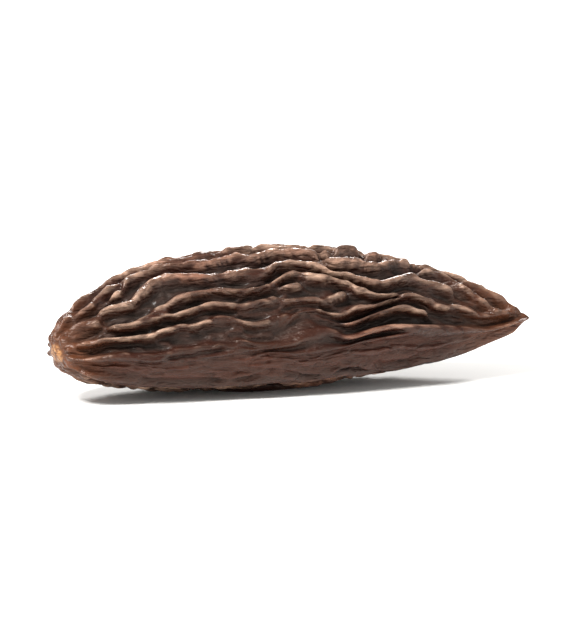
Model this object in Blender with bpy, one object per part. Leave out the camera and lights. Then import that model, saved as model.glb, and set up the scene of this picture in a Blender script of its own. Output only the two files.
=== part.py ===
"""Tonka bean: one dried seed of the tonka tree, lying on its flatter side.

The seed is a single solid. Its skin is a closed grid of points: rings that follow each other at
equal steps along the skin, from the blunt end with the hilum to the pointed tip, and a point that
closes each end. The rings are ovals carried along a slightly bowed spine. Lengthwise wrinkles are
grown on that skin from a seeded noise, and raise it along its normals.

X runs along the seed, with the tip at +X. The ventral edge is at -Y and a little low, +Z is up,
and the seed rests on a small flat spot at z = 0. Units are metres.
"""

import math

import bpy
import numpy as np

MM = 0.001

# The body without its wrinkles.
LENGTH = 35.8 * MM
WIDTH = 11.0 * MM  # from the dorsal edge to the ventral edge
THICKNESS = 8.8 * MM
WIDEST_AT = 0.43  # share of the length, from the hilum end
HILUM_END_CURVE = (2.3, 0.50)  # exponents of the blunt end's outline
TIP_END_CURVE = (2.0, 0.78)  # exponents of the pointed end's outline
DORSAL_SWELL = 0.25  # how much thicker the dorsal half is than the ventral half
BOW = 1.2 * MM  # how far both ends bend towards the ventral edge
HILUM_NOD = 0.9 * MM  # extra bend of the hilum end
HILUM_NOD_REACH = 0.10  # share of the length that this bend fades over
ROLL = math.radians(22.0)  # the ventral edge lies this much lower than the dorsal one

# The grid that the wrinkles grow on, and how much of it the solid keeps.
GRID_RINGS = 324
GRID_POINTS = 300  # points around each ring
OUTLINE_SAMPLES = 4001
FIRST_RING = 2
HILUM_RINGS = 20  # rings nearest the hilum, kept closer together
HILUM_RING_STRIDE = 3
RING_STRIDE = 6
POINT_STRIDE = 3
MEAN_REACH = 5  # grid points on each side of the one that a mean is taken for

# Wrinkles.
SEED = 4
RIDGE_SPACING = 1.10 * MM
RIDGE_DEPTH = 0.80 * MM  # from crest to groove
CREST_SHARPNESS = 2.0  # exponent that narrows the crests and widens the grooves
SPACING_PER_BLUR = 5.72  # a ridge with its groove, in widths of the nearer blur
FAR_BLUR = 1.6  # width of the farther blur, in widths of the nearer one
LENGTHWISE_BLUR = 1.15  # reach of both blurs along the seed, in widths of the nearer one
GROWTH_STEPS = 12
GROWTH_GAIN = 7.0
NET_GAIN = 3.0  # lets ridges join into a net
RIDGE_PUSH = 0.05  # makes ridges a little wider than grooves
CREST_ROUNDING = (1.2, 0.45)  # last blur, along and around, in widths of the nearer blur
SWAY = 0.34 * MM  # how far the ridges wind sideways
SWAY_SIZE = 0.9 * MM
SWAY_FADE = 4.8 * MM
KNOTS = 0.26  # how much the ridges' height varies along them
KNOT_SIZE = 1.5 * MM
LUMP_HEIGHT = 0.15 * MM
LUMP_SIZE = 3.2 * MM
PATCH_STRETCH = 1.6  # length of a patch of noise over its width
PATCH_LIMIT = 2.5
HILUM_FADE = (1.0 * MM, 3.4 * MM)  # wrinkles begin and are full at these distances from the end
TIP_FADE = (0.0 * MM, 2.4 * MM)

# The smoother band along the ventral edge, and the ridge on each side of it.
BAND_HALF_ANGLE = math.radians(26.0)
BAND_EDGE_ANGLE = math.radians(12.0)
BAND_WRINKLES = 0.20  # share of the wrinkles' depth that is left on the band
RIM_ANGLE = math.radians(7.5)
RIM_HEIGHT = 0.10 * MM
RIM_BIAS = 0.10
RIM_GROOVE_OFFSET = math.radians(17.0)
RIM_GROOVE_BIAS = -0.07

# The hilum: a sunken pad with a collar around it, at the blunt end.
PAD_RADIUS = 1.10 * MM
PAD_EDGE = 0.15 * MM
PAD_DEPTH = 0.16 * MM
COLLAR_RADIUS = 1.40 * MM
COLLAR_WIDTH = 0.24 * MM
COLLAR_HEIGHT = 0.13 * MM

# The flat spot that the seed rests on.
SPOT_CUT = 0.16 * MM
SPOT_ANGLE = math.radians(-106.0)
SPOT_HALF_ANGLE = math.radians(18.0)
SPOT_AT = 0.47  # share of the length
SPOT_HALF_LENGTH = 0.125  # share of the length
SPOT_EDGE = (1.35, 0.85)  # the wrinkles' fade into the spot, in shares of its half size

# Finish.
COAT_COLOUR = (0.035, 0.016, 0.010, 1.0)
COAT_ROUGHNESS = 0.45

# Each of these names its own stream of noise.
SWAY_STREAM = 5
KNOT_STREAM = 9
LUMP_STREAM = 3


def ramp(start, end, value):
    """Smooth step from 0 at start to 1 at end."""
    share = np.clip((value - start) / (end - start), 0.0, 1.0)
    return share * share * (3.0 - 2.0 * share)


def bell(value, width):
    """Bell curve, 1 where value is 0."""
    return np.exp(-0.5 * (value / width) ** 2)


def outline_share(station):
    """Share of the full half width at a share of the length: blunt at 0, pointed at 1."""
    back = np.clip((WIDEST_AT - station) / WIDEST_AT, 0.0, 1.0)
    fore = np.clip((station - WIDEST_AT) / (1.0 - WIDEST_AT), 0.0, 1.0)
    power, root = HILUM_END_CURVE
    blunt = (1.0 - back**power) ** root
    power, root = TIP_END_CURVE
    pointed = (1.0 - fore**power) ** root
    return np.where(station < WIDEST_AT, blunt, pointed)


def ring_stations():
    """Stations of the rings, at equal steps along the skin, and the skin's whole length."""
    fine = (1.0 - np.cos(np.linspace(0.0, math.pi, OUTLINE_SAMPLES))) / 2.0
    radius = outline_share(fine) * (WIDTH + THICKNESS) / 4.0
    steps = np.hypot(np.diff(fine * LENGTH), np.diff(radius))
    walked = np.concatenate([[0.0], np.cumsum(steps)])
    wanted = (np.arange(GRID_RINGS) + 0.5) / GRID_RINGS * walked[-1]
    return np.interp(wanted, walked, fine), walked[-1]


def spine(station):
    """The spine's Y, and its slope dY/dX: a bow, and a nod at the hilum end."""
    from_middle = 2.0 * station - 1.0
    nod = HILUM_NOD * np.exp(-station / HILUM_NOD_REACH)
    y = -BOW * from_middle**2 - nod
    slope = (-4.0 * BOW * from_middle + nod / HILUM_NOD_REACH) / LENGTH
    return y, slope


def bare_body(stations, angles):
    """Ovals square to the spine; angle 0 is the dorsal edge and 180 degrees the ventral one."""
    y, slope = spine(stations)
    turn = np.arctan(slope)[:, None]
    share = outline_share(stations)[:, None]
    across = share * WIDTH / 2.0 * np.cos(angles)
    up = share * THICKNESS / 2.0 * np.sin(angles) * (1.0 + DORSAL_SWELL * np.cos(angles))
    x = (stations * LENGTH)[:, None] - across * np.sin(turn)
    return np.stack([x, y[:, None] + across * np.cos(turn), up], axis=2)


def ring_lengths(points):
    """Distance around each ring."""
    return np.linalg.norm(np.roll(points, -1, axis=1) - points, axis=2).sum(axis=1)


def blurred(field, along, around, step, girth):
    """Gaussian blur of a field on the skin, with its widths in metres.

    Around a ring the field repeats. Along the seed it goes over each end and back along the
    opposite side, so the skin has no edge there.
    """
    waves = np.fft.rfft(field, axis=1)
    pitch = 2.0 * math.pi * np.arange(waves.shape[1])[None, :] / girth[:, None]
    smooth = np.fft.irfft(waves * np.exp(-0.5 * (pitch * around) ** 2), field.shape[1], axis=1)
    opposite = np.roll(smooth[::-1], field.shape[1] // 2, axis=1)
    waves = np.fft.rfft(np.vstack([smooth, opposite]), axis=0)
    pitch = math.pi * np.arange(waves.shape[0]) / (field.shape[0] * step)
    waves *= np.exp(-0.5 * (pitch * along) ** 2)[:, None]
    return np.fft.irfft(waves, 2 * field.shape[0], axis=0)[: field.shape[0]]


def patches(stream, size, step, girth):
    """Smooth seeded noise with patches of a size in metres, longer along the seed than around."""
    noise = np.random.default_rng(SEED + stream).standard_normal((len(girth), GRID_POINTS))
    smooth = blurred(noise, PATCH_STRETCH * size, size, step, girth)
    return np.clip(smooth / smooth.std(), -PATCH_LIMIT, PATCH_LIMIT)


def grown_wrinkles(step, girth, bias):
    """Ridges near 1 and grooves near -1.

    At each step a point follows what is near it and shuns what is farther around the ring. From
    noise that grows into lengthwise ridges at an even spacing, which fork and join.
    """
    near_width = RIDGE_SPACING / SPACING_PER_BLUR
    along = LENGTHWISE_BLUR * near_width
    noise = np.random.default_rng(SEED).standard_normal((len(girth), GRID_POINTS))
    field = blurred(noise, along, near_width, step, girth)
    for _ in range(GROWTH_STEPS):
        near = blurred(field, along, near_width, step, girth)
        far = blurred(field, along, FAR_BLUR * near_width, step, girth)
        pull = near - far + bias
        field = np.tanh(GROWTH_GAIN * pull + NET_GAIN * pull**2 + RIDGE_PUSH)
    along, around = CREST_ROUNDING
    return blurred(field, along * near_width, around * near_width, step, girth)


def outward(points):
    """Unit normals of the grid, pointing out of the seed."""
    around = np.roll(points, -1, axis=1) - np.roll(points, 1, axis=1)
    half = points.shape[1] // 2
    before = np.roll(points[:1], half, axis=1)
    after = np.roll(points[-1:], half, axis=1)
    longer = np.concatenate([before, points, after])
    normal = np.cross(around, longer[2:] - longer[:-2])
    return normal / np.linalg.norm(normal, axis=2, keepdims=True)


def wrinkle_height(angles, step, girth):
    """Wrinkles and low lumps, with a smoother band and its two rims along the ventral edge."""
    from_ventral = np.abs(angles - math.pi)
    rim = bell(from_ventral - BAND_HALF_ANGLE, RIM_ANGLE)
    rim_groove = bell(from_ventral - BAND_HALF_ANGLE - RIM_GROOVE_OFFSET, RIM_ANGLE)
    ridges = grown_wrinkles(step, girth, RIM_BIAS * rim + RIM_GROOVE_BIAS * rim_groove)
    ridges = 2.0 * np.clip(0.5 + 0.5 * ridges, 0.0, None) ** CREST_SHARPNESS - 1.0
    off_band = ramp(BAND_HALF_ANGLE - BAND_EDGE_ANGLE, BAND_HALF_ANGLE, from_ventral)
    share = BAND_WRINKLES + (1.0 - BAND_WRINKLES) * off_band
    knots = 1.0 + KNOTS * patches(KNOT_STREAM, KNOT_SIZE, step, girth)
    lumps = LUMP_HEIGHT * patches(LUMP_STREAM, LUMP_SIZE, step, girth)
    return RIDGE_DEPTH / 2.0 * ridges * share * knots + lumps + RIM_HEIGHT * rim


def flat_spot(stations, angles):
    """1 on the flat spot, fading to 0 around it."""
    around = np.angle(np.exp(1j * (angles - SPOT_ANGLE))) / SPOT_HALF_ANGLE
    along = (stations[:, None] - SPOT_AT) / SPOT_HALF_LENGTH
    outer, inner = SPOT_EDGE
    return ramp(outer, inner, np.hypot(around, along))


def hilum_height(walk):
    """The sunken pad and its collar, by the distance walked from the blunt end."""
    pad = ramp(PAD_RADIUS + PAD_EDGE, PAD_RADIUS - PAD_EDGE, walk)
    return COLLAR_HEIGHT * bell(walk - COLLAR_RADIUS, COLLAR_WIDTH) - PAD_DEPTH * pad


def wrinkled_skin():
    """Grid of points on the finished skin, before the seed is laid down, and its relief."""
    stations, skin_length = ring_stations()
    step = skin_length / GRID_RINGS
    walk = (np.arange(GRID_RINGS) + 0.5)[:, None] * step
    left = skin_length - walk
    angles = 2.0 * math.pi * np.arange(GRID_POINTS)[None, :] / GRID_POINTS
    girth = ring_lengths(bare_body(stations, angles))
    sideways = SWAY * patches(SWAY_STREAM, SWAY_SIZE, step, girth)
    sideways *= ramp(0.0, SWAY_FADE, walk) * ramp(0.0, SWAY_FADE, left)
    body = bare_body(stations, angles + sideways * 2.0 * math.pi / girth[:, None])
    height = wrinkle_height(angles, step, girth) * ramp(*HILUM_FADE, walk) * ramp(*TIP_FADE, left)
    on_spot = flat_spot(stations, angles)
    height = height * (1.0 - on_spot) + RIDGE_DEPTH / 2.0 * on_spot + hilum_height(walk)
    return body + outward(body) * height[..., None], height


def laid_down(points):
    """The skin rolled onto its flatter side and cut flat at z = 0."""
    cosine, sine = math.cos(ROLL), math.sin(ROLL)
    y = cosine * points[..., 1] - sine * points[..., 2]
    z = sine * points[..., 1] + cosine * points[..., 2]
    z = np.maximum(z - z.min() - SPOT_CUT, 0.0)
    return np.stack([points[..., 0], y, z], axis=2)


def kept_rings():
    """Rings that the solid keeps, closer together at the hilum."""
    close = np.arange(FIRST_RING, HILUM_RINGS, HILUM_RING_STRIDE)
    wide = np.arange(HILUM_RINGS, GRID_RINGS, RING_STRIDE)
    return np.concatenate([close, wide])


def kept_points(height):
    """Which points of each ring the solid keeps: of each few neighbours, the one that stands
    highest above or lowest below the mean around it, so that crests and grooves are kept."""
    reach = range(-MEAN_REACH, MEAN_REACH + 1)
    mean = sum(np.roll(height, shift, axis=1) for shift in reach) / len(reach)
    apart = np.abs(height - mean).reshape(len(height), -1, POINT_STRIDE)
    return apart.argmax(axis=2) + np.arange(0, GRID_POINTS, POINT_STRIDE)


def solid_points():
    """The solid's rings of points, then its two end points, centred in X and Y; and its relief."""
    skin, height = wrinkled_skin()
    skin = laid_down(skin)
    hilum, tip = skin[0].mean(axis=0), skin[-1].mean(axis=0)
    skin, height = skin[kept_rings()], height[kept_rings()]
    kept = kept_points(height)
    rings = np.take_along_axis(skin, kept[..., None], axis=1)
    points = np.vstack([rings.reshape(-1, 3), hilum, tip])
    middle = (points.min(axis=0) + points.max(axis=0)) / 2.0
    points[:, :2] -= middle[:2]
    return points, np.take_along_axis(height, kept, axis=1)


def ring_triangles(height):
    """Two triangles for each cell between two rings.

    A cell is split from corner to corner where the relief differs least, so that the edges of
    the solid run along the ridges and grooves.
    """
    rings, count = height.shape
    ring = np.arange(rings - 1)[:, None] * count
    here = np.arange(count)[None, :]
    there = (here + 1) % count
    a, b, c, d = ring + here, ring + there, ring + count + there, ring + count + here
    rise = height.ravel()
    split_ac = (np.abs(rise[a] - rise[c]) < np.abs(rise[b] - rise[d]))[..., None]
    first = np.where(split_ac, np.stack([a, b, c], axis=2), np.stack([a, b, d], axis=2))
    second = np.where(split_ac, np.stack([a, c, d], axis=2), np.stack([b, c, d], axis=2))
    return np.concatenate([first.reshape(-1, 3), second.reshape(-1, 3)]).tolist()


def end_fans(height):
    """A fan of triangles from each end point to the ring nearest to it."""
    rings, count = height.shape
    here = np.arange(count)
    there = (here + 1) % count
    hilum = rings * count
    tip = hilum + 1
    last = (rings - 1) * count
    hilum_fan = [(hilum, b, a) for a, b in zip(here, there)]
    tip_fan = [(tip, last + a, last + b) for a, b in zip(here, there)]
    return hilum_fan + tip_fan


def seed_coat():
    """Dry, faintly waxy seed coat, dark reddish brown."""
    material = bpy.data.materials.new("seed_coat")
    material.use_nodes = True
    shader = material.node_tree.nodes["Principled BSDF"]
    shader.inputs["Base Color"].default_value = COAT_COLOUR
    shader.inputs["Roughness"].default_value = COAT_ROUGHNESS
    shader.inputs["Metallic"].default_value = 0.0
    return material


def make_bean():
    """The seed as one object."""
    points, height = solid_points()
    mesh = bpy.data.meshes.new("bean")
    mesh.from_pydata(points.tolist(), [], ring_triangles(height) + end_fans(height))
    mesh.shade_smooth()
    mesh.materials.append(seed_coat())
    bean = bpy.data.objects.new("bean", mesh)
    bpy.context.scene.collection.objects.link(bean)


for leftover in list(bpy.data.objects):
    bpy.data.objects.remove(leftover, do_unlink=True)
make_bean()
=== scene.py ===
"""Tonka bean: the finished look of one dried seed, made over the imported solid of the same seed.

The seed's skin is one closed surface, a function of the distance walked along the seed and the
angle around it. The solid keeps a part of that grid's points. Here the whole grid is shown, with
the finer folds, creases and pits that the solid leaves out, and the coat's colours and gloss.
"""

import logging
import math
from dataclasses import dataclass, field
from enum import Enum

import bpy
import numpy as np
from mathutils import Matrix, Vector


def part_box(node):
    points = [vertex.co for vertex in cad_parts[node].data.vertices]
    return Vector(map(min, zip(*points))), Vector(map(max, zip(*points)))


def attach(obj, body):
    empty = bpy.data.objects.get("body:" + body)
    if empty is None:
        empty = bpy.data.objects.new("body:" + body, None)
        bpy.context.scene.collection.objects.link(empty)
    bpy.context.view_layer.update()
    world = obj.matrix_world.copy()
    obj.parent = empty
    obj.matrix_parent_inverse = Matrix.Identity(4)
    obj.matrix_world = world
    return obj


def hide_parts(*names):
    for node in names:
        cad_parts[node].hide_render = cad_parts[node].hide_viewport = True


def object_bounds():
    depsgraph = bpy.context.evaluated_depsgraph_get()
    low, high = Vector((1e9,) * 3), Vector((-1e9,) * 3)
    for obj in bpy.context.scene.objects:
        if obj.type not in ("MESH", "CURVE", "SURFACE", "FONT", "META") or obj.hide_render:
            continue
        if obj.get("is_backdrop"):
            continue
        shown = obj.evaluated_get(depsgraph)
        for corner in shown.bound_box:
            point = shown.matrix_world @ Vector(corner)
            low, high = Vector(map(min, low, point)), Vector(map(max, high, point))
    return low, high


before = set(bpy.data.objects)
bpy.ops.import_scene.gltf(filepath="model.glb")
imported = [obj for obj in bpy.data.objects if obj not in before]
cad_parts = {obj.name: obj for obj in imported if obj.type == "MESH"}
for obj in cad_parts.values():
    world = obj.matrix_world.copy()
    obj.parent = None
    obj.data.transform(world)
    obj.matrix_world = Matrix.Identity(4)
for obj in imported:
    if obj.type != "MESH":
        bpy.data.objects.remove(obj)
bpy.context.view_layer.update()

MM = 0.001
FULL_TURN = 2.0 * math.pi
MIX_FACTOR, MIX_A, MIX_B, MIX_RESULT = 0, 6, 7, 2
Socket = bpy.types.NodeSocket
Inputs = dict[int | str, object]
log = logging.getLogger("tonka_bean")


class Noise(Enum):
    """Streams of seeded noise, each with the number that is added to the seed's own."""

    RIDGES = 0
    LUMPS = 3
    SWAY = 5
    KNOTS = 9
    FINE_FOLDS = 31
    CREASES = 37
    PITS = 41
    KNOBS = 43


class Trait(Enum):
    """What the skin tells its finish, point by point, with the name that it is stored under."""

    SUNKEN = "sunken"
    # Crest lines: wear with a painted highlight.
    WEAR_AND_HIGHLIGHT = "worn"
    FACE = "face"
    PAD = "pad"
    PAD_MIDDLE = "pad_middle"
    HILUM_END = "hilum_end"
    TIP_END = "tip_end"


class Blend(Enum):
    """How one layer of colour lies on those under it, with the mix's own name for that."""

    COVER = "MIX"
    TINT = "SOFT_LIGHT"


def ramp(start: float, end: float, value: np.ndarray) -> np.ndarray:
    """Smooth step from 0 at start to 1 at end: 3t² - 2t³ of the clipped share t.

    Args:
        start: Value at which the step leaves 0. It may be above end.
        end: Value at which the step reaches 1.
        value: Where to read the step.

    Returns:
        The step's height for each value.
    """
    share = np.clip((value - start) / (end - start), 0.0, 1.0)
    return share * share * (3.0 - 2.0 * share)


def bell(value: np.ndarray, width: float) -> np.ndarray:
    """Bell curve exp(-(value / width)² / 2).

    Args:
        value: Distance from the bell's middle.
        width: Standard width, in the same unit.

    Returns:
        The bell's height, 1 in its middle.
    """
    return np.exp(-0.5 * (value / width) ** 2)


def outward(points: np.ndarray) -> np.ndarray:
    """Unit normals of a closed grid: the cross product of its steps around and along.

    Past each end the grid goes on with the opposite side of its last ring.

    Args:
        points: Rings of points, shaped (rings, points, 3).

    Returns:
        Normals of the same shape, pointing out.
    """
    around = np.roll(points, -1, axis=1) - np.roll(points, 1, axis=1)
    half = points.shape[1] // 2
    before = np.roll(points[:1], half, axis=1)
    after = np.roll(points[-1:], half, axis=1)
    longer = np.concatenate([before, points, after])
    normal = np.cross(around, longer[2:] - longer[:-2])
    return normal / np.linalg.norm(normal, axis=2, keepdims=True)


@dataclass(frozen=True)
class SeedForm:
    """The seed without its wrinkles: ovals carried along a slightly bowed spine."""

    length: float = 35.8 * MM
    width: float = 11.0 * MM
    thickness: float = 8.8 * MM
    widest_at: float = 0.43
    hilum_end: tuple[float, float] = (2.3, 0.50)
    tip_end: tuple[float, float] = (2.0, 0.78)
    dorsal_swell: float = 0.25
    bow: float = 1.2 * MM
    hilum_nod: float = 0.9 * MM
    hilum_nod_reach: float = 0.10
    samples: int = 4001

    def outline_share(self, station: np.ndarray) -> np.ndarray:
        """Share of the full half width: (1 - t^power)^root on each side of the widest place.

        Args:
            station: Share of the length, 0 at the hilum end and 1 at the tip.

        Returns:
            The share at each station.
        """
        back = np.clip((self.widest_at - station) / self.widest_at, 0.0, 1.0)
        fore = np.clip((station - self.widest_at) / (1.0 - self.widest_at), 0.0, 1.0)
        power, root = self.hilum_end
        blunt = (1.0 - back**power) ** root
        power, root = self.tip_end
        pointed = (1.0 - fore**power) ** root
        return np.where(station < self.widest_at, blunt, pointed)

    def ring_stations(self, rings: int) -> tuple[np.ndarray, float]:
        """Stations at equal steps along the skin, read back from the walked length.

        Args:
            rings: Number of rings.

        Returns:
            The stations, and the skin's whole length from end to end.
        """
        fine = (1.0 - np.cos(np.linspace(0.0, math.pi, self.samples))) / 2.0
        radius = self.outline_share(fine) * (self.width + self.thickness) / 4.0
        steps = np.hypot(np.diff(fine * self.length), np.diff(radius))
        walked = np.concatenate([[0.0], np.cumsum(steps)])
        wanted = (np.arange(rings) + 0.5) / rings * walked[-1]
        return np.interp(wanted, walked, fine), float(walked[-1])

    def spine(self, station: np.ndarray) -> tuple[np.ndarray, np.ndarray]:
        """The spine's Y and slope: a parabola, and a nod that fades from the hilum end.

        Args:
            station: Share of the length.

        Returns:
            Y in metres, and dY/dX.
        """
        from_middle = 2.0 * station - 1.0
        nod = self.hilum_nod * np.exp(-station / self.hilum_nod_reach)
        y = -self.bow * from_middle**2 - nod
        slope = (-4.0 * self.bow * from_middle + nod / self.hilum_nod_reach) / self.length
        return y, slope

    def points(self, stations: np.ndarray, angles: np.ndarray) -> np.ndarray:
        """Ovals square to the spine, thicker on the dorsal side.

        Args:
            stations: Share of the length of each ring.
            angles: Angle of each point, 0 at the dorsal edge and half a turn at the ventral one.

        Returns:
            Points shaped (rings, points, 3), in metres.
        """
        y, slope = self.spine(stations)
        turn = np.arctan(slope)[:, None]
        share = self.outline_share(stations)[:, None]
        across = share * self.width / 2.0 * np.cos(angles)
        swell = 1.0 + self.dorsal_swell * np.cos(angles)
        up = share * self.thickness / 2.0 * np.sin(angles) * swell
        x = (stations * self.length)[:, None] - across * np.sin(turn)
        return np.stack([x, y[:, None] + across * np.cos(turn), up], axis=2)


@dataclass
class Skin:
    """A grid on the bare seed, with its own distances in metres, for patterns to grow on."""

    form: SeedForm
    rings: int = 324
    count: int = 300
    seed: int = 4
    patch_stretch: float = 1.6
    patch_limit: float = 2.5
    stations: np.ndarray = field(init=False)
    angles: np.ndarray = field(init=False)
    walk: np.ndarray = field(init=False)
    left: np.ndarray = field(init=False)
    girth: np.ndarray = field(init=False)
    step: float = field(init=False)

    def __post_init__(self) -> None:
        """Measure the skin: the step between rings, and the distance around each ring."""
        self.stations, skin_length = self.form.ring_stations(self.rings)
        self.step = skin_length / self.rings
        self.walk = (np.arange(self.rings) + 0.5)[:, None] * self.step
        self.left = skin_length - self.walk
        self.angles = FULL_TURN * np.arange(self.count)[None, :] / self.count
        points = self.form.points(self.stations, self.angles)
        ring_steps = np.linalg.norm(np.roll(points, -1, axis=1) - points, axis=2)
        self.girth = ring_steps.sum(axis=1)

    def blurred(self, values: np.ndarray, along: float, around: float) -> np.ndarray:
        """Gaussian blur on the skin, by Fourier transforms around each ring and then along.

        Along the seed the values go over each end and back along the opposite side, so the
        skin has no edge there.

        Args:
            values: A value for each point of the grid.
            along: Width of the blur along the seed, in metres.
            around: Width of the blur around the seed, in metres.

        Returns:
            The blurred values.
        """
        rings, count = values.shape
        waves = np.fft.rfft(values, axis=1)
        pitch = FULL_TURN * np.arange(waves.shape[1])[None, :] / self.girth[:, None]
        smooth = np.fft.irfft(waves * np.exp(-0.5 * (pitch * around) ** 2), count, axis=1)
        opposite = np.roll(smooth[::-1], count // 2, axis=1)
        waves = np.fft.rfft(np.vstack([smooth, opposite]), axis=0)
        pitch = math.pi * np.arange(waves.shape[0]) / (rings * self.step)
        waves *= np.exp(-0.5 * (pitch * along) ** 2)[:, None]
        return np.fft.irfft(waves, 2 * rings, axis=0)[:rings]

    def noise(self, stream: Noise) -> np.ndarray:
        """Seeded noise, one value for each point of the grid."""
        generator = np.random.default_rng(self.seed + stream.value)
        return generator.standard_normal((self.rings, self.count))

    def patches(self, stream: Noise, size: float, stretch: float | None = None) -> np.ndarray:
        """Blurred noise of unit spread, clipped at a few times its spread.

        Args:
            stream: The noise to blur.
            size: Width of the blur around the seed, in metres.
            stretch: Width of the blur along the seed over its width around it.

        Returns:
            A smooth value for each point of the grid.
        """
        stretch = self.patch_stretch if stretch is None else stretch
        smooth = self.blurred(self.noise(stream), stretch * size, size)
        return np.clip(smooth / smooth.std(), -self.patch_limit, self.patch_limit)


@dataclass(frozen=True)
class Folds:
    """One size of lengthwise fold, grown on the skin from noise.

    At each step a point follows what is near it and shuns what is farther around the ring, so
    noise turns into ridges at an even spacing, which fork and join.
    """

    spacing: float
    lengthwise: float
    steps: int
    gain: float = 7.0
    net: float = 3.0
    push: float = 0.05
    far: float = 1.6
    spacing_per_blur: float = 5.72
    rounding: tuple[float, float] = (1.2, 0.45)

    def grown(self, skin: Skin, stream: Noise, bias: np.ndarray | float = 0.0) -> np.ndarray:
        """Repeat tanh(gain·pull + net·pull² + push), where pull is near blur less far blur.

        Args:
            skin: The grid to grow on.
            stream: The noise to start from.
            bias: Pull that is added at each step, to place a ridge or a groove.

        Returns:
            The folds, near 1 on ridges and near -1 in grooves.
        """
        near_width = self.spacing / self.spacing_per_blur
        along = self.lengthwise * near_width
        values = skin.blurred(skin.noise(stream), along, near_width)
        for _ in range(self.steps):
            near = skin.blurred(values, along, near_width)
            far = skin.blurred(values, along, self.far * near_width)
            pull = near - far + bias
            values = np.tanh(self.gain * pull + self.net * pull**2 + self.push)
        round_along, round_around = self.rounding
        return skin.blurred(values, round_along * near_width, round_around * near_width)


@dataclass(frozen=True)
class VentralBand:
    """The smoother band along the ventral edge, with a ridge on each side of it."""

    half_angle: float = math.radians(26.0)
    edge_angle: float = math.radians(12.0)
    wrinkles: float = 0.20
    rim_angle: float = math.radians(7.5)
    rim_height: float = 0.10 * MM
    rim_bias: float = 0.10
    groove_offset: float = math.radians(17.0)
    groove_bias: float = -0.07

    def rim(self, angles: np.ndarray) -> np.ndarray:
        """1 on both rims: a bell over the angle from each rim."""
        return bell(np.abs(angles - math.pi) - self.half_angle, self.rim_angle)

    def bias(self, angles: np.ndarray) -> np.ndarray:
        """Pull that places a ridge on each rim and a groove beyond it."""
        beyond = np.abs(angles - math.pi) - self.half_angle - self.groove_offset
        return self.rim_bias * self.rim(angles) + self.groove_bias * bell(beyond, self.rim_angle)

    def wrinkled_face(self, angles: np.ndarray) -> np.ndarray:
        """0 on the band and 1 off it, by a smooth step at its edge."""
        inner = self.half_angle - self.edge_angle
        return ramp(inner, self.half_angle, np.abs(angles - math.pi))


@dataclass(frozen=True)
class Hilum:
    """The scar at the blunt end: a sunken pad with a collar around it."""

    pad_radius: float = 1.10 * MM
    pad_edge: float = 0.15 * MM
    pad_depth: float = 0.16 * MM
    collar_radius: float = 1.40 * MM
    collar_width: float = 0.24 * MM
    collar_height: float = 0.13 * MM
    torn_edge: float = 0.18 * MM
    torn_size: float = 0.40 * MM
    middle_edge: tuple[float, float] = (1.00 * MM, 0.82 * MM)
    pore_edge: tuple[float, float] = (0.12 * MM, 0.30 * MM)

    def pad(self, walk: np.ndarray) -> np.ndarray:
        """1 on the pad and 0 outside it, by a smooth step at its edge."""
        return ramp(self.pad_radius + self.pad_edge, self.pad_radius - self.pad_edge, walk)

    def height(self, walk: np.ndarray) -> np.ndarray:
        """The collar's bell less the pad's sunken floor, in metres."""
        collar = self.collar_height * bell(walk - self.collar_radius, self.collar_width)
        return collar - self.pad_depth * self.pad(walk)

    def torn_walk(self, skin: Skin) -> np.ndarray:
        """The distance from the end plus uneven patches, so that an edge drawn by it is torn."""
        uneven = skin.patches(Noise.KNOBS, self.torn_size, 1.0)
        return skin.walk + self.torn_edge * (1.0 + uneven)

    def middle(self, walk: np.ndarray) -> np.ndarray:
        """1 on the pad's corky middle, and 0 outside it and in the pore at the very end."""
        return ramp(*self.middle_edge, walk) * ramp(*self.pore_edge, walk)


@dataclass(frozen=True)
class BrownEnds:
    """The browner coat near both ends, with an edge that drifts."""

    hilum_reach: tuple[float, float] = (6.0 * MM, 1.2 * MM)
    tip_reach: tuple[float, float] = (8.0 * MM, 0.5 * MM)
    drift: float = 0.8 * MM
    drift_size: float = 1.1 * MM

    def shares(self, skin: Skin) -> dict[Trait, np.ndarray]:
        """A smooth step over the distance from each end, moved to and fro by the drift.

        Args:
            skin: The grid.

        Returns:
            For each end 1 where the coat is browner, fading to 0.
        """
        drift = self.drift * skin.patches(Noise.LUMPS, self.drift_size)
        return {Trait.HILUM_END: ramp(*self.hilum_reach, skin.walk + drift),
                Trait.TIP_END: ramp(*self.tip_reach, skin.left + drift)}


@dataclass(frozen=True)
class RestingSpot:
    """The small flat spot under the seed, level with the ridges around it."""

    cut: float = 0.16 * MM
    angle: float = math.radians(-106.0)
    half_angle: float = math.radians(18.0)
    station: float = 0.47
    half_length: float = 0.125
    edge: tuple[float, float] = (1.35, 0.85)

    def share(self, skin: Skin) -> np.ndarray:
        """A smooth step over the oval distance from the middle of the spot.

        Args:
            skin: The grid.

        Returns:
            1 on the spot, fading to 0 around it.
        """
        around = np.angle(np.exp(1j * (skin.angles - self.angle))) / self.half_angle
        along = (skin.stations[:, None] - self.station) / self.half_length
        outer, inner = self.edge
        return ramp(outer, inner, np.hypot(around, along))


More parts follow.
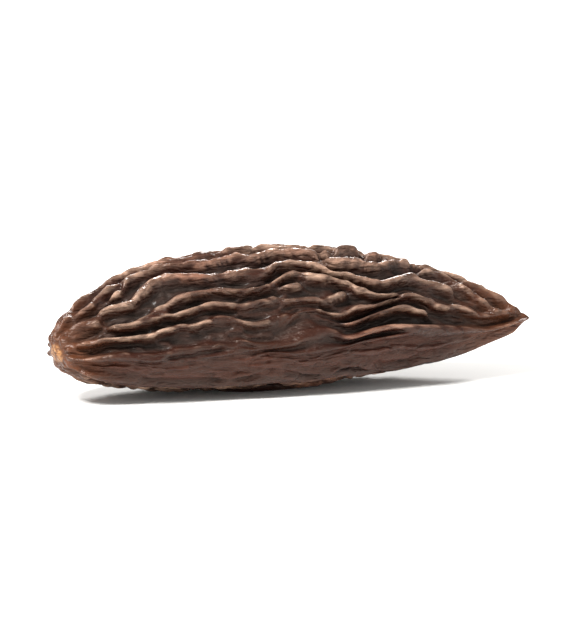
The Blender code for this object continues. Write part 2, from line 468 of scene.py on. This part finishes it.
@dataclass(frozen=True)
class FineRelief:
    """What the solid leaves out: fine folds, cross creases, knobs on the crests, and pits."""

    folds: Folds = Folds(spacing=0.66 * MM, lengthwise=1.0, steps=7, rounding=(0.9, 0.6))
    fold_depth: float = 0.26 * MM
    fold_on_crest: float = 0.80
    crease_size: float = 0.50 * MM
    crease_stretch: float = 0.50
    crease_level: tuple[float, float] = (0.9, 2.7)
    crease_depth: float = 0.10 * MM
    knob_size: float = 0.23 * MM
    knob_stretch: float = 1.3
    knob_spread: tuple[float, float] = (0.5, 0.2)
    knob_depth: float = 0.12 * MM
    pit_size: float = 0.17 * MM
    pit_stretch: float = 1.2
    pit_level: tuple[float, float] = (1.5, 2.4)
    pit_depth: float = 0.09 * MM
    pits_on_face: float = 0.25
    band_share: float = 0.35
    rim_calm: float = 0.75

    def depth(self, skin: Skin, crest: np.ndarray, face: np.ndarray,
              rim: np.ndarray) -> np.ndarray:
        """How far the fine relief cuts into the skin: folds, creases, knobs and pits, added up.

        It only cuts, so it never stands proud of the ridges.

        Args:
            skin: The grid.
            crest: 1 on the crests of the ridges and 0 in the grooves.
            face: 1 on the wrinkled face and 0 on the ventral band.
            rim: 1 on the ridges beside the band and 0 away from them.

        Returns:
            Depth in metres, 0 or more.
        """
        on_face = self.band_share + (1.0 - self.band_share) * face
        on_face = on_face * (1.0 - self.rim_calm * rim)
        mean, spread = self.knob_spread
        folds = 0.5 - 0.5 * self.folds.grown(skin, Noise.FINE_FOLDS)
        on_crest = 1.0 - (1.0 - self.fold_on_crest) * crest
        creases = ramp(*self.crease_level, skin.patches(
            Noise.CREASES, self.crease_size, self.crease_stretch))
        knobs = mean - spread * skin.patches(Noise.KNOBS, self.knob_size, self.knob_stretch)
        pits = ramp(*self.pit_level, skin.patches(Noise.PITS, self.pit_size, self.pit_stretch))
        depth = self.fold_depth * folds * on_crest * on_face
        depth += self.crease_depth * creases * on_face
        depth += self.knob_depth * knobs * on_face
        return depth + self.pit_depth * pits * (1.0 - (1.0 - self.pits_on_face) * face)


@dataclass
class TonkaBean:
    """One dried tonka seed, lying on its flatter side with its ventral edge a little low."""

    form: SeedForm = SeedForm()
    ridges: Folds = Folds(spacing=1.10 * MM, lengthwise=1.15, steps=12)
    band: VentralBand = VentralBand()
    hilum: Hilum = Hilum()
    spot: RestingSpot = RestingSpot()
    fine: FineRelief = FineRelief()
    ends: BrownEnds = BrownEnds()
    roll: float = math.radians(22.0)
    ridge_depth: float = 0.80 * MM
    crest_sharpness: float = 2.0
    sway: float = 0.34 * MM
    sway_size: float = 0.9 * MM
    sway_fade: float = 4.8 * MM
    knots: float = 0.26
    knot_size: float = 1.5 * MM
    lump_height: float = 0.15 * MM
    lump_size: float = 3.2 * MM
    hilum_fade: tuple[float, float] = (1.0 * MM, 3.4 * MM)
    tip_fade: tuple[float, float] = (0.0 * MM, 2.4 * MM)
    pad_calm: float = 0.8
    tip_calm: float = 0.8 * MM
    groove_reach: tuple[float, float] = (1.0 * MM, 0.5 * MM)
    crest_reach: tuple[float, float] = (0.45 * MM, 0.20 * MM)
    # How far a top stands over its close surroundings, for the lines of wear and painted
    # highlight.
    wear_and_highlight_relief: tuple[float, float] = (0.11 * MM, 0.25 * MM)
    kept_near_hilum: tuple[int, int, int] = (2, 20, 3)
    kept_rings: int = 6
    kept_points: int = 3
    mean_reach: int = 5
    node: str = "bean"
    piece: str = "seed_coat"

    def swayed_body(self, skin: Skin) -> np.ndarray:
        """The bare body, with each point moved around its ring by a smooth sideways sway.

        Args:
            skin: The grid.

        Returns:
            Points shaped (rings, points, 3).
        """
        sideways = self.sway * skin.patches(Noise.SWAY, self.sway_size)
        sideways *= ramp(0.0, self.sway_fade, skin.walk) * ramp(0.0, self.sway_fade, skin.left)
        turned = sideways * FULL_TURN / skin.girth[:, None]
        return self.form.points(skin.stations, skin.angles + turned)

    def ridge_field(self, skin: Skin) -> np.ndarray:
        """Ridges grown from noise, raised to a power, and then scaled down on the band.

        With h the folds brought to the range 0 to 1, a ridge is 2·h^sharpness - 1, which
        narrows the crests. Patches make some ridges stronger than others.

        Args:
            skin: The grid.

        Returns:
            The field, near 1 on ridges and near -1 in grooves, without unit.
        """
        folds = self.ridges.grown(skin, Noise.RIDGES, self.band.bias(skin.angles))
        folds = 2.0 * np.clip(0.5 + 0.5 * folds, 0.0, None) ** self.crest_sharpness - 1.0
        on_face = self.band.wrinkled_face(skin.angles)
        share = self.band.wrinkles + (1.0 - self.band.wrinkles) * on_face
        return folds * share * (1.0 + self.knots * skin.patches(Noise.KNOTS, self.knot_size))

    def main_height(self, skin: Skin, ridges: np.ndarray) -> np.ndarray:
        """The relief that the solid has too: ridges, lumps, rims, resting spot and hilum.

        Args:
            skin: The grid.
            ridges: The ridge field.

        Returns:
            Height over the bare body, in metres.
        """
        lumps = self.lump_height * skin.patches(Noise.LUMPS, self.lump_size)
        rims = self.band.rim_height * self.band.rim(skin.angles)
        height = self.ridge_depth / 2.0 * ridges + lumps + rims
        height *= ramp(*self.hilum_fade, skin.walk) * ramp(*self.tip_fade, skin.left)
        on_spot = self.spot.share(skin)
        height = height * (1.0 - on_spot) + self.ridge_depth / 2.0 * on_spot
        return height + self.hilum.height(skin.walk)

    def lay_down(self, points: np.ndarray) -> np.ndarray:
        """Turn points about X by the roll: y' = cy - sz and z' = sy + cz.

        Args:
            points: Points with X, Y and Z on the last axis.

        Returns:
            The turned points.
        """
        cosine, sine = math.cos(self.roll), math.sin(self.roll)
        y = cosine * points[..., 1] - sine * points[..., 2]
        z = sine * points[..., 1] + cosine * points[..., 2]
        return np.stack([points[..., 0], y, z], axis=-1)

    def shape(self, skin: Skin) -> tuple[np.ndarray, dict[Trait, np.ndarray]]:
        """The finished skin where the solid lies, and what its finish reads.

        A point is the bare body plus its normal times the main height less the fine cut.
        The whole is then laid down, and what would be under z = 0 is flattened to it.

        Args:
            skin: The grid.

        Returns:
            Points shaped (rings, points, 3), and a value of each trait for each point.
        """
        body = self.swayed_body(skin)
        normal = outward(body)
        ridges = self.ridge_field(skin)
        main = self.main_height(skin, ridges)
        solid = self.lay_down(body + normal * main[..., None])
        crest = np.clip(0.5 + 0.5 * ridges, 0.0, 1.0)
        face = np.broadcast_to(self.band.wrinkled_face(skin.angles), crest.shape)
        calm = (1.0 - self.spot.share(skin)) * (1.0 - self.pad_calm * self.hilum.pad(skin.walk))
        cut = self.fine.depth(skin, crest, face, self.band.rim(skin.angles)) * calm
        height = main - cut * ramp(0.0, self.tip_calm, skin.left)
        points = self.lay_down(body + normal * height[..., None])
        points[..., 2] = np.maximum(points[..., 2] - solid[..., 2].min() - self.spot.cut, 0.0)
        points[..., :2] += self.middle() - self.kept_middle(solid, main)
        torn = self.hilum.torn_walk(skin)
        return points, {
            Trait.SUNKEN: self.sunken(skin, height),
            Trait.WEAR_AND_HIGHLIGHT: self.worn(skin, height),
            Trait.FACE: face,
            Trait.PAD: self.hilum.pad(torn),
            Trait.PAD_MIDDLE: self.hilum.middle(torn),
            **self.ends.shares(skin),
        }

    def middle(self) -> np.ndarray:
        """X and Y of the middle of the solid's box."""
        low, high = (np.array(corner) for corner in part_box(self.node))
        return (low + high)[:2] / 2.0

    def kept_middle(self, solid: np.ndarray, height: np.ndarray) -> np.ndarray:
        """X and Y of the middle of the points that the solid keeps of this grid.

        The solid keeps some rings, and of each few neighbours on a ring the one that stands
        highest above or lowest below the mean around it.

        Args:
            solid: The skin without its fine relief.
            height: Its height over the bare body.

        Returns:
            The middle of the box of the kept points and the two end points.
        """
        near, wide = self.kept_near_hilum, self.kept_rings
        rings = [*range(*near), *range(near[1], len(solid), wide)]
        reach = range(-self.mean_reach, self.mean_reach + 1)
        mean = sum(np.roll(height[rings], shift, axis=1) for shift in reach) / len(reach)
        apart = np.abs(height[rings] - mean).reshape(len(rings), -1, self.kept_points)
        kept = apart.argmax(axis=2) + np.arange(0, solid.shape[1], self.kept_points)
        points = np.take_along_axis(solid[rings], kept[..., None], axis=1).reshape(-1, 3)
        points = np.vstack([points, solid[0].mean(axis=0), solid[-1].mean(axis=0)])
        return (points.min(axis=0) + points.max(axis=0))[:2] / 2.0

    def sunken(self, skin: Skin, height: np.ndarray) -> np.ndarray:
        """How sunken each point is: the height around it less its own, over the ridges' depth.

        Args:
            skin: The grid.
            height: Height over the bare body, in metres.

        Returns:
            From 0 on open crests to 1 deep in the grooves.
        """
        wide = skin.blurred(height, *self.groove_reach) - height
        return np.clip(0.5 + wide / self.ridge_depth, 0.0, 1.0)

    def worn(self, skin: Skin, height: np.ndarray) -> np.ndarray:
        """Narrow lines along the tops, for wear with a painted highlight: the height less its own
        close surroundings.

        Args:
            skin: The grid.
            height: Height over the bare body, in metres.

        Returns:
            From 0 off the tops to 1 on the sharpest of them.
        """
        close = height - skin.blurred(height, *self.crest_reach)
        return ramp(*self.wear_and_highlight_relief, close)

    def mesh(self, points: np.ndarray, traits: dict[Trait, np.ndarray]) -> bpy.types.Mesh:
        """Quads between the rings, and a fan of triangles from a point at each end.

        Args:
            points: The finished skin.
            traits: A value of each trait for each point, stored as attributes.

        Returns:
            A closed mesh, facing out.
        """
        rings, count = points.shape[:2]
        ring = np.arange(rings - 1)[:, None] * count
        here = np.arange(count)[None, :]
        there = (here + 1) % count
        corners = [ring + here, ring + there, ring + count + there, ring + count + here]
        quads = np.stack(corners, axis=2).reshape(-1, 4).tolist()
        last = (rings - 1) * count
        first_end, last_end = rings * count, rings * count + 1
        near_fan = [(first_end, b, a) for a, b in zip(here[0], there[0])]
        far_fan = [(last_end, last + a, last + b) for a, b in zip(here[0], there[0])]
        ends = np.stack([points[0].mean(axis=0), points[-1].mean(axis=0)])
        vertices = np.concatenate([points.reshape(-1, 3), ends])
        mesh = bpy.data.meshes.new(self.piece)
        mesh.from_pydata(vertices.tolist(), [], quads + near_fan + far_fan)
        mesh.shade_smooth()
        for trait, value in traits.items():
            with_ends = np.append(value.ravel(), [value[0].mean(), value[-1].mean()])
            layer = mesh.attributes.new(trait.value, "FLOAT", "POINT")
            layer.data.foreach_set("value", with_ends.astype(np.float32))
        return mesh

    def build(self, finish: "SeedCoatFinish") -> bpy.types.Object:
        """Make the seed's visible skin, which stands for the solid.

        Args:
            finish: The coat's finish.

        Returns:
            The finished piece.
        """
        skin = Skin(self.form)
        mesh = self.mesh(*self.shape(skin))
        mesh.materials.append(finish.material())
        piece = bpy.data.objects.new(self.piece, mesh)
        bpy.context.scene.collection.objects.link(piece)
        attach(piece, "root")
        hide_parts("bean")
        return piece


def linear(colour: str) -> tuple[float, float, float, float]:
    """Turn an sRGB hex colour to linear light.

    Args:
        colour: Six hex digits after a #.

    Returns:
        Red, green, blue and an alpha of 1.
    """
    shares = [int(colour[i:i + 2], 16) / 255.0 for i in (1, 3, 5)]
    light = [c / 12.92 if c <= 0.04045 else ((c + 0.055) / 1.055) ** 2.4 for c in shares]
    return (*light, 1.0)


def add_node(tree: bpy.types.NodeTree, kind: str, inputs: Inputs | None = None,
             output: int | str = 0, **settings: str) -> Socket:
    """Add a node with its settings, constants and links.

    Args:
        tree: The material's node tree.
        kind: The node's type name.
        inputs: A constant or an output of another node for each input, by its name or number.
        output: The name or number of the output to give back.
        **settings: The node's own settings.

    Returns:
        That output of the node.
    """
    node = tree.nodes.new(kind)
    for name, value in settings.items():
        setattr(node, name, value)
    for key, value in (inputs or {}).items():
        if isinstance(value, Socket):
            tree.links.new(value, node.inputs[key])
        else:
            node.inputs[key].default_value = value
    return node.outputs[output]


@dataclass(frozen=True)
class Pattern:
    """A noise on the coat: its real size on the seed in metres, and its finer detail."""

    size: float
    detail: float
    roughness: float = 0.5

    def inputs(self, place: Socket) -> Inputs:
        """The pattern's scale and detail, for a noise that is laid out by place."""
        return {"Vector": place, "Scale": 1.0 / self.size, "Detail": self.detail,
                "Roughness": self.roughness}


@dataclass(frozen=True)
class Span:
    """A straight change from start to end as a value goes from low to high."""

    low: float
    high: float
    start: float = 0.0
    end: float = 1.0

    def inputs(self, value: Socket) -> Inputs:
        """The span's four numbers, for a range that reads value."""
        return {"Value": value, "From Min": self.low, "From Max": self.high,
                "To Min": self.start, "To Max": self.end}


@dataclass(frozen=True)
class SeedCoatFinish:
    """Dried seed coat of a tonka bean: brown skin shrunk into wrinkles, faintly waxy.

    Its tone darkens from the crests by the shoulders and flanks into the grooves, which is
    painted shade in the hollows, and its thin light crest lines are wear with a painted
    highlight. Its gloss is that of waxy plant skin, which refracts at about 1.43: satin on the
    crests, matt in the grooves.
    The grain of a real coat is finer than 0.05 mm. It is drawn at 0.22 mm, as coarse as it
    needs to be to show.
    """

    # Tone stops from the grooves to the crests: the darker groove tone is painted shade in the
    # hollows.
    groove: str = "#140905"
    flank: str = "#281007"
    shoulder: str = "#2f150b"
    crest: str = "#371b11"
    tone_places: tuple[float, ...] = (0.08, 0.38, 0.64, 0.92)
    # Light tan on the crest lines: wear with a painted highlight.
    worn: str = "#b0907b"
    russet: str = "#6e3220"
    band: str = "#441d0e"
    end: str = "#6d4027"
    scar: str = "#a5764a"
    scar_dark: str = "#54301c"
    mottle: Pattern = Pattern(0.55 * MM, 4.0, 0.60)
    bloom: Pattern = Pattern(2.60 * MM, 5.0, 0.65)
    patches: Pattern = Pattern(4.50 * MM, 3.0)
    grain: Pattern = Pattern(0.22 * MM, 3.0)
    winding: Pattern = Pattern(0.80 * MM, 2.0)
    grain_run: float = 0.42
    crease_run: float = 0.26
    mottle_share: float = 0.40
    dust: Span = Span(0.36, 0.62, 0.35, 1.0)
    speckle: Span = Span(0.40, 0.60, 0.30, 1.0)
    russet_span: Span = Span(0.46, 0.66, 0.0, 0.65)
    band_share: float = 0.55
    hilum_share: float = 0.45
    tip_share: float = 0.40
    cork: Span = Span(0.36, 0.62)
    crease_edge: Span = Span(0.0, 0.10)
    # Painted shade laid into the winding creases, in the groove tone.
    crease_shade: Span = Span(0.0, 1.0, 0.40, 0.0)
    crease_depth: float = 0.055 * MM
    grain_depth: float = 0.120 * MM
    satin: Span = Span(0.35, 0.75, 0.33, 0.70)
    satin_spread: float = 0.16
    refraction: float = 1.43
    gloss_tint: str = "#ffe8da"
    wax: float = 0.10
    wax_roughness: float = 0.20

    def material(self) -> bpy.types.Material:
        """Build the node material.

        Returns:
            The material.
        """
        # Dried seed coat, shrunk on the seed as it dried and rubbed in handling. It gives the eye
        # near-black grooves that are painted shade, reddish-brown flanks, winding creases
        # darkened with painted shade, thin tan lines on the crests that are wear with a painted
        # highlight, under a satin gloss, browner ends, and a corky orange scar at the blunt end.
        material = bpy.data.materials.new("dried_seed_coat")
        material.use_nodes = True
        tree = material.node_tree
        skin = {trait: add_node(tree, "ShaderNodeAttribute", output="Fac",
                                attribute_name=trait.value) for trait in Trait}
        place = add_node(tree, "ShaderNodeTexCoord", output="Object")
        along, farther = (
            add_node(tree, "ShaderNodeMapping", {"Vector": place, "Scale": (run, 1.0, 1.0)})
            for run in (self.grain_run, self.crease_run))
        mottle, grain = (add_node(tree, "ShaderNodeTexNoise", pattern.inputs(along))
                         for pattern in (self.mottle, self.grain))
        creases = self.creases(tree, farther)
        made = {
            "Base Color": self.colour(tree, skin, along, (mottle, grain), creases),
            "Roughness": self.roughness(tree, skin[Trait.SUNKEN], mottle),
            "Normal": self.bump(tree, grain, creases),
        }
        shader = tree.nodes["Principled BSDF"]
        for name, socket in made.items():
            tree.links.new(socket, shader.inputs[name])
        shader.inputs["IOR"].default_value = self.refraction
        shader.inputs["Specular Tint"].default_value = linear(self.gloss_tint)
        shader.inputs["Coat Weight"].default_value = self.wax
        shader.inputs["Coat Roughness"].default_value = self.wax_roughness
        return material

    def tones(self, tree: bpy.types.NodeTree, sunken: Socket, mottle: Socket) -> Socket:
        """The coat's tone, with painted shade darkening it into the grooves: 1 - sunken, made
        uneven by the mottle, read off four stops.

        Args:
            tree: The material's node tree.
            sunken: 0 on open crests and 1 deep in the grooves.
            mottle: Small-scale noise.

        Returns:
            The tone.
        """
        lifted = add_node(tree, "ShaderNodeMath", {0: 1.0, 1: sunken}, operation="SUBTRACT")
        uneven = add_node(tree, "ShaderNodeMath", {
            0: mottle, 1: self.mottle_share, 2: lifted}, operation="MULTIPLY_ADD")
        level = add_node(tree, "ShaderNodeMath", {
            0: uneven, 1: self.mottle_share / 2.0}, operation="SUBTRACT")
        tone = add_node(tree, "ShaderNodeValToRGB", {"Fac": level})
        stops = tone.node.color_ramp.elements
        while len(stops) < len(self.tone_places):
            stops.new(0.5)
        colours = (self.groove, self.flank, self.shoulder, self.crest)
        for stop, place, colour in zip(stops, self.tone_places, colours):
            stop.position = place
            stop.color = linear(colour)
        return tone

    def colour(self, tree: bpy.types.NodeTree, skin: dict[Trait, Socket], along: Socket,
               fine: tuple[Socket, Socket], creases: Socket) -> Socket:
        """Lay wear with a painted highlight, patches, band, ends, painted shade in the creases
        and scar over the tone.

        Args:
            tree: The material's node tree.
            skin: The skin's traits.
            along: Coordinates stretched along the seed.
            fine: The mottle and the grain.
            creases: 0 in a crease and 1 beside it.

        Returns:
            The colour.
        """
        mottle, grain = fine
        bloom, patches = (add_node(tree, "ShaderNodeTexNoise", pattern.inputs(along))
                          for pattern in (self.bloom, self.patches))
        dusty, speckled, russet, shade, corky = (
            add_node(tree, "ShaderNodeMapRange", span.inputs(value)) for span, value in (
                (self.dust, bloom), (self.speckle, mottle), (self.russet_span, patches),
                (self.crease_shade, creases), (self.cork, grain)))
        off_face = add_node(tree, "ShaderNodeMath", {
            0: 1.0, 1: skin[Trait.FACE]}, operation="SUBTRACT")
        dusted, on_band, at_hilum, at_tip, cork = (
            add_node(tree, "ShaderNodeMath", {0: first, 1: second}, operation="MULTIPLY")
            for first, second in (
                (speckled, dusty), (off_face, self.band_share),
                (skin[Trait.HILUM_END], self.hilum_share), (skin[Trait.TIP_END], self.tip_share),
                (corky, skin[Trait.PAD_MIDDLE])))
        # Crest lines of wear with a painted highlight, where the dust patches allow.
        wear_and_highlight_share = add_node(tree, "ShaderNodeMath", {
            0: skin[Trait.WEAR_AND_HIGHLIGHT], 1: dusted}, operation="MULTIPLY")
        scar = add_node(tree, "ShaderNodeMix", {
            MIX_FACTOR: cork, MIX_A: linear(self.scar_dark), MIX_B: linear(self.scar)},
            MIX_RESULT, data_type="RGBA")
        # Painted shade: the tone darkens into the grooves.
        colour = self.tones(tree, skin[Trait.SUNKEN], mottle)
        for share, tone, blend in (
                # Crest lines: wear with a painted highlight.
                (wear_and_highlight_share, linear(self.worn), Blend.COVER),
                (russet, linear(self.russet), Blend.TINT),
                (on_band, linear(self.band), Blend.COVER),
                (at_hilum, linear(self.end), Blend.COVER),
                (at_tip, linear(self.end), Blend.COVER),
                # Painted shade in the creases.
                (shade, linear(self.groove), Blend.COVER),
                (skin[Trait.PAD], scar, Blend.COVER)):
            colour = add_node(tree, "ShaderNodeMix", {
                MIX_FACTOR: share, MIX_A: colour, MIX_B: tone},
                MIX_RESULT, data_type="RGBA", blend_type=blend.value)
        return colour

    def roughness(self, tree: bpy.types.NodeTree, sunken: Socket, mottle: Socket) -> Socket:
        """Satin on the crests and matt in the grooves, made uneven by the mottle.

        Args:
            tree: The material's node tree.
            sunken: 0 on open crests and 1 deep in the grooves.
            mottle: Small-scale noise.

        Returns:
            The roughness.
        """
        base = add_node(tree, "ShaderNodeMapRange", self.satin.inputs(sunken))
        uneven = add_node(tree, "ShaderNodeMath", {
            0: mottle, 1: self.satin_spread, 2: base}, operation="MULTIPLY_ADD")
        return add_node(tree, "ShaderNodeMath", {
            0: uneven, 1: self.satin_spread / 2.0}, operation="SUBTRACT")

    def creases(self, tree: bpy.types.NodeTree, place: Socket) -> Socket:
        """Thin winding creases: how far a noise is from its middle value.

        Args:
            tree: The material's node tree.
            place: Coordinates stretched along the seed.

        Returns:
            0 in a crease, rising to 1 beside it.
        """
        noise = add_node(tree, "ShaderNodeTexNoise", self.winding.inputs(place))
        offset = add_node(tree, "ShaderNodeMath", {0: noise, 1: 0.5}, operation="SUBTRACT")
        distance = add_node(tree, "ShaderNodeMath", {0: offset}, operation="ABSOLUTE")
        return add_node(tree, "ShaderNodeMapRange", self.crease_edge.inputs(distance))

    def bump(self, tree: bpy.types.NodeTree, grain: Socket, creases: Socket) -> Socket:
        """Relief finer than the mesh: winding creases under a lengthwise grain.

        Args:
            tree: The material's node tree.
            grain: The grain's noise.
            creases: 0 in a crease and 1 beside it.

        Returns:
            The bent normal.
        """
        creased = add_node(tree, "ShaderNodeBump", {
            "Height": creases, "Distance": self.crease_depth})
        return add_node(tree, "ShaderNodeBump", {
            "Height": grain, "Distance": self.grain_depth, "Normal": creased})


@dataclass(frozen=True)
class WhiteCardFinish:
    """Matt white card, as rolled out under small goods: a plain pale ground with soft shadows."""

    tone: str = "#f3f2ef"
    roughness: float = 0.9

    def material(self) -> bpy.types.Material:
        """Build the plain material.

        Returns:
            The material.
        """
        # Uncoated card, smooth and matt. It gives the eye an even pale ground with no gloss.
        material = bpy.data.materials.new("matt_white_card")
        material.use_nodes = True
        shader = material.node_tree.nodes["Principled BSDF"]
        shader.inputs["Base Color"].default_value = linear(self.tone)
        shader.inputs["Roughness"].default_value = self.roughness
        return material


@dataclass(frozen=True)
class Softbox:
    """A square soft light, aimed at the seed."""

    name: str
    place: tuple[float, float, float]
    size: float
    power: float

    def build(self, target: Vector) -> None:
        """Hang the light.

        Args:
            target: The point it is aimed at.
        """
        lamp = bpy.data.lights.new(self.name, "AREA")
        lamp.size = self.size
        lamp.energy = self.power
        light = bpy.data.objects.new(self.name, lamp)
        light.location = self.place
        away = Vector(self.place) - target
        light.rotation_euler = away.to_track_quat("Z", "Y").to_euler()
        bpy.context.scene.collection.objects.link(light)


@dataclass(frozen=True)
class Studio:
    """White card, three softboxes and a long lens, at the reference's viewing angle."""

    azimuth: float = math.radians(-18.0)
    elevation: float = math.radians(11.0)
    distance: float = 0.80
    view_width: float = 40.5 * MM
    sensor: float = 36.0
    clip: tuple[float, float] = (0.01, 20.0)
    image: tuple[int, int] = (570, 630)
    floor_radius: float = 4.0
    floor_sides: int = 96
    sky: str = "#ffffff"
    sky_strength: float = 0.45
    view: str = "Standard"
    lights: tuple[Softbox, ...] = (
        Softbox("key_softbox", (-0.19, -0.10, 0.29), 0.10, 2.6),
        Softbox("rim_softbox", (0.10, 0.28, 0.20), 0.10, 1.4),
        Softbox("fill_softbox", (0.34, -0.40, 0.14), 0.30, 0.6),
    )

    def build(self, card: WhiteCardFinish) -> None:
        """Lay the card, hang the lights and place the camera, with colours shown as they are.

        Args:
            card: The floor's finish.
        """
        low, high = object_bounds()
        target = (Vector(low) + Vector(high)) / 2.0
        self.lay_floor(card)
        self.light_sky()
        bpy.context.scene.view_settings.view_transform = self.view
        for softbox in self.lights:
            softbox.build(target)
        self.place_camera(target)

    def lay_floor(self, card: WhiteCardFinish) -> None:
        """A disc at z = 0: one face, with its corners on a circle.

        Args:
            card: The floor's finish.
        """
        angles = FULL_TURN * np.arange(self.floor_sides) / self.floor_sides
        circle = [np.cos(angles), np.sin(angles), 0.0 * angles]
        corners = self.floor_radius * np.stack(circle, axis=1)
        mesh = bpy.data.meshes.new("white_card")
        mesh.from_pydata(corners.tolist(), [], [tuple(range(self.floor_sides))])
        mesh.materials.append(card.material())
        floor = bpy.data.objects.new("white_card", mesh)
        bpy.context.scene.collection.objects.link(floor)
        floor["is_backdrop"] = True

    def light_sky(self) -> None:
        """An even white surround."""
        world = bpy.data.worlds.new("white_surround")
        world.use_nodes = True
        surround = world.node_tree.nodes["Background"]
        surround.inputs["Color"].default_value = linear(self.sky)
        surround.inputs["Strength"].default_value = self.sky_strength
        bpy.context.scene.world = world

    def place_camera(self, target: Vector) -> None:
        """Aim a long lens so that the view is view_width wide at the seed.

        The sensor's width lies along the image's longer side.

        Args:
            target: The middle of the seed's box.
        """
        width, height = self.image
        across = self.sensor * width / max(width, height)
        lens = bpy.data.cameras.new("camera")
        lens.sensor_width = self.sensor
        lens.lens = across * self.distance / self.view_width
        lens.clip_start, lens.clip_end = self.clip
        level = math.cos(self.elevation)
        back = Vector((math.sin(self.azimuth) * level, -math.cos(self.azimuth) * level,
                       math.sin(self.elevation)))
        camera = bpy.data.objects.new("camera", lens)
        camera.location = target + back * self.distance
        camera.rotation_euler = back.to_track_quat("Z", "Y").to_euler()
        bpy.context.scene.collection.objects.link(camera)
        bpy.context.scene.camera = camera


def write_sizes() -> None:
    """Update the view layer.
    """
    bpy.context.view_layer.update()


def main() -> None:
    """Build the seed and the studio in order, and report each piece."""
    logging.basicConfig(level=logging.INFO, format="%(name)s: %(message)s")
    piece = TonkaBean().build(SeedCoatFinish())
    log.info("%s: %d points, %d faces", piece.name, len(piece.data.vertices),
             len(piece.data.polygons))
    studio = Studio()
    studio.build(WhiteCardFinish())
    log.info("studio: card, surround, %d softboxes and camera", len(studio.lights))
    write_sizes()


if __name__ == "__main__":
    main()
